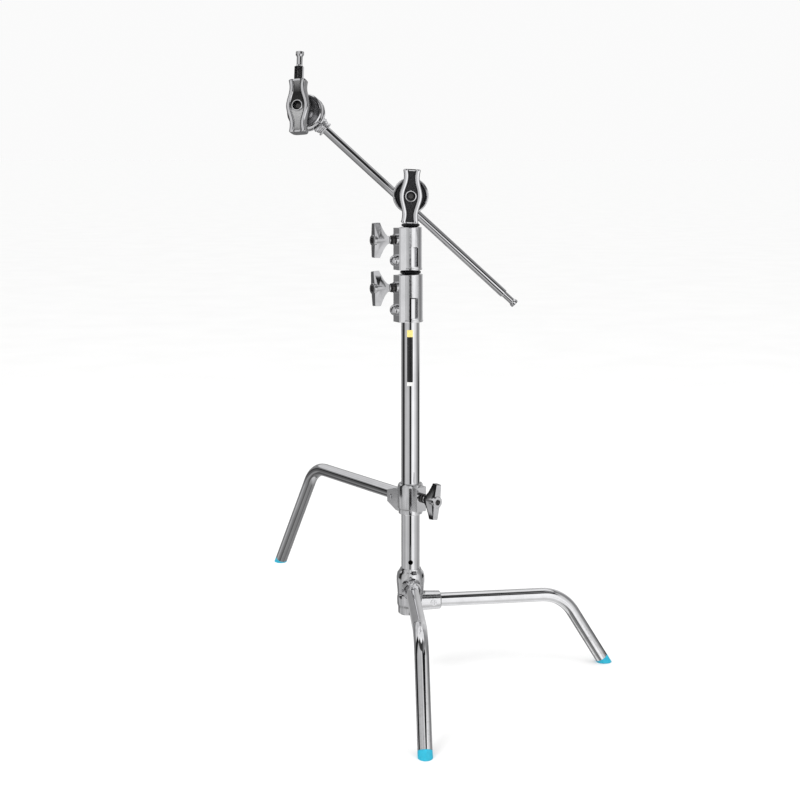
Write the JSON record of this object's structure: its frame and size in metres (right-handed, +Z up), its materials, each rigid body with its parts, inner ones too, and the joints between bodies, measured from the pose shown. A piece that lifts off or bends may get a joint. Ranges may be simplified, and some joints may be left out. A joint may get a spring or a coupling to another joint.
{
  "type": "c stand with sliding leg and grip arm",
  "caption": "Chrome studio stand with nesting cranked legs, a sliding leg, telescoping risers with T knobs, a grip head and a short grip arm with an end head and spigot.",
  "frame": {"origin": "on the floor under the column's axis", "axes": "+Z up along the column; -Y is the side the grip head's T handle and the arm face; the lower leg points near +X"},
  "size_m": [0.6799, 0.8287, 1.1723],
  "materials": {
    "tube_chrome": "bright plated tube",
    "cast_chrome": "plated casting, slightly soft",
    "turned_chrome": "plated turned part",
    "dark_steel": "oiled thread and spring steel",
    "ring_plastic": "glossy black",
    "foot_plastic": "satin turquoise",
    "guide_plastic": "moulded",
    "label": "printed film without lettering",
    "brass": "plain"
  },
  "bodies": {
    "column": {"master_column": "tube_chrome", "column_plug": "guide_plastic", "column_label": "label", "lower_casting": "cast_chrome", "lower_casting_ring": "ring_plastic", "lower_casting_bolt": "turned_chrome", "lower_brake_pad": "brass", "lower_hub": "cast_chrome", "lower_leg": "tube_chrome", "lower_leg_foot": "foot_plastic", "lower_leg_screw": "turned_chrome"},
    "front_leg_group": {"upper_hub": "cast_chrome", "front_leg": "tube_chrome", "front_leg_foot": "foot_plastic", "front_leg_screw": "turned_chrome", "detent_plunger": "dark_steel"},
    "liner_group": {"slide_liner": "guide_plastic"},
    "sliding_leg_group": {"sliding_collar": "cast_chrome", "sliding_leg": "tube_chrome", "sliding_leg_foot": "foot_plastic", "sliding_leg_pin": "turned_chrome", "collar_brake_pad": "brass"},
    "collar_knob_group": {"collar_knob": "cast_chrome", "collar_knob_stem": "dark_steel"},
    "lower_knob_group": {"lower_knob": "cast_chrome", "lower_knob_stem": "dark_steel"},
    "riser_1_group": {"riser_1": "tube_chrome", "riser_1_guide": "guide_plastic", "upper_casting": "cast_chrome", "upper_casting_ring": "ring_plastic", "upper_casting_bolt": "turned_chrome", "upper_brake_pad": "brass"},
    "upper_knob_group": {"upper_knob": "cast_chrome", "upper_knob_stem": "dark_steel"},
    "riser_2_group": {"riser_2": "tube_chrome", "riser_2_guide": "guide_plastic", "top_stud": "turned_chrome"},
    "head_mount": {"head_barrel": "turned_chrome", "head_draw_bolt": "turned_chrome"},
    "head_jaws": {"head_rear_disc": "turned_chrome", "head_front_disc": "turned_chrome", "head_spring_washer": "dark_steel", "head_thrust_washer": "turned_chrome"},
    "head_handle_group": {"head_handle": "cast_chrome"},
    "grip_arm": {"arm_rod": "tube_chrome", "arm_collar": "turned_chrome", "arm_pin": "turned_chrome", "arm_end_stud": "turned_chrome", "end_barrel": "turned_chrome", "end_draw_bolt": "turned_chrome"},
    "end_jaws": {"end_rear_disc": "turned_chrome", "end_front_disc": "turned_chrome", "end_spring_washer": "dark_steel", "end_thrust_washer": "turned_chrome", "end_spigot": "turned_chrome"},
    "end_handle_group": {"end_handle": "cast_chrome"}
  },
  "joints": [
    {"name": "riser_1_slide", "type": "slide", "parent": "column", "child": "riser_1_group", "axis": [0, 0, 1], "range_m": [0, 0.41]},
    {"name": "riser_2_slide", "type": "slide", "parent": "riser_1_group", "child": "riser_2_group", "axis": [0, 0, 1], "range_m": [0, 0.43]},
    {"name": "leg_slide", "type": "slide", "parent": "column", "child": "liner_group", "axis": [0, 0, 1], "range_m": [-0.102, 0.185]},
    {"name": "sliding_leg_swing", "type": "hinge", "parent": "liner_group", "child": "sliding_leg_group", "pos_m": [0, 0, 0.33], "axis": [0, 0, 1], "range_deg": [-80, 55]},
    {"name": "front_leg_swing", "type": "hinge", "parent": "column", "child": "front_leg_group", "pos_m": [0, 0, 0.167], "axis": [0, 0, 1], "range_deg": [-60, 60]},
    {"name": "lower_knob_turn", "type": "hinge", "parent": "column", "child": "lower_knob_group", "pos_m": [0, 0, 0.729], "axis": [-0.866, -0.5, 0], "range_deg": [0, 270]},
    {"name": "upper_knob_turn", "type": "hinge", "parent": "riser_1_group", "child": "upper_knob_group", "pos_m": [0, 0, 0.819], "axis": [-0.866, -0.5, 0], "range_deg": [0, 270]},
    {"name": "collar_knob_turn", "type": "hinge", "parent": "sliding_leg_group", "child": "collar_knob_group", "pos_m": [0, 0, 0.336], "axis": [0.6018, -0.7986, 0], "range_deg": [0, 270]},
    {"name": "head_swivel", "type": "hinge", "parent": "riser_2_group", "child": "head_mount", "pos_m": [0, 0, 0.903], "axis": [0, 0, 1], "range_deg": [-30, 135]},
    {"name": "arm_tilt", "type": "hinge", "parent": "head_mount", "child": "head_jaws", "pos_m": [0, 0, 0.903], "axis": [0, -1, 0], "range_deg": [-17, 52]},
    {"name": "head_handle_turn", "type": "hinge", "parent": "head_mount", "child": "head_handle_group", "pos_m": [0, 0, 0.903], "axis": [0, -1, 0], "range_deg": [0, 270]},
    {"name": "arm_slide", "type": "slide", "parent": "head_jaws", "child": "grip_arm", "axis": [-0.7361, 0, 0.6769], "range_m": [-0.12, 0.2]},
    {"name": "end_jaw_turn", "type": "hinge", "parent": "grip_arm", "child": "end_jaws", "pos_m": [-0.18409, -0.036, 1.04851], "axis": [-0.2275, -0.9511, 0.2092], "range_deg": [-90, 90]},
    {"name": "end_handle_turn", "type": "hinge", "parent": "grip_arm", "child": "end_handle_group", "pos_m": [-0.18409, -0.036, 1.04851], "axis": [-0.2275, -0.9511, 0.2092], "range_deg": [0, 270]}
  ]
}
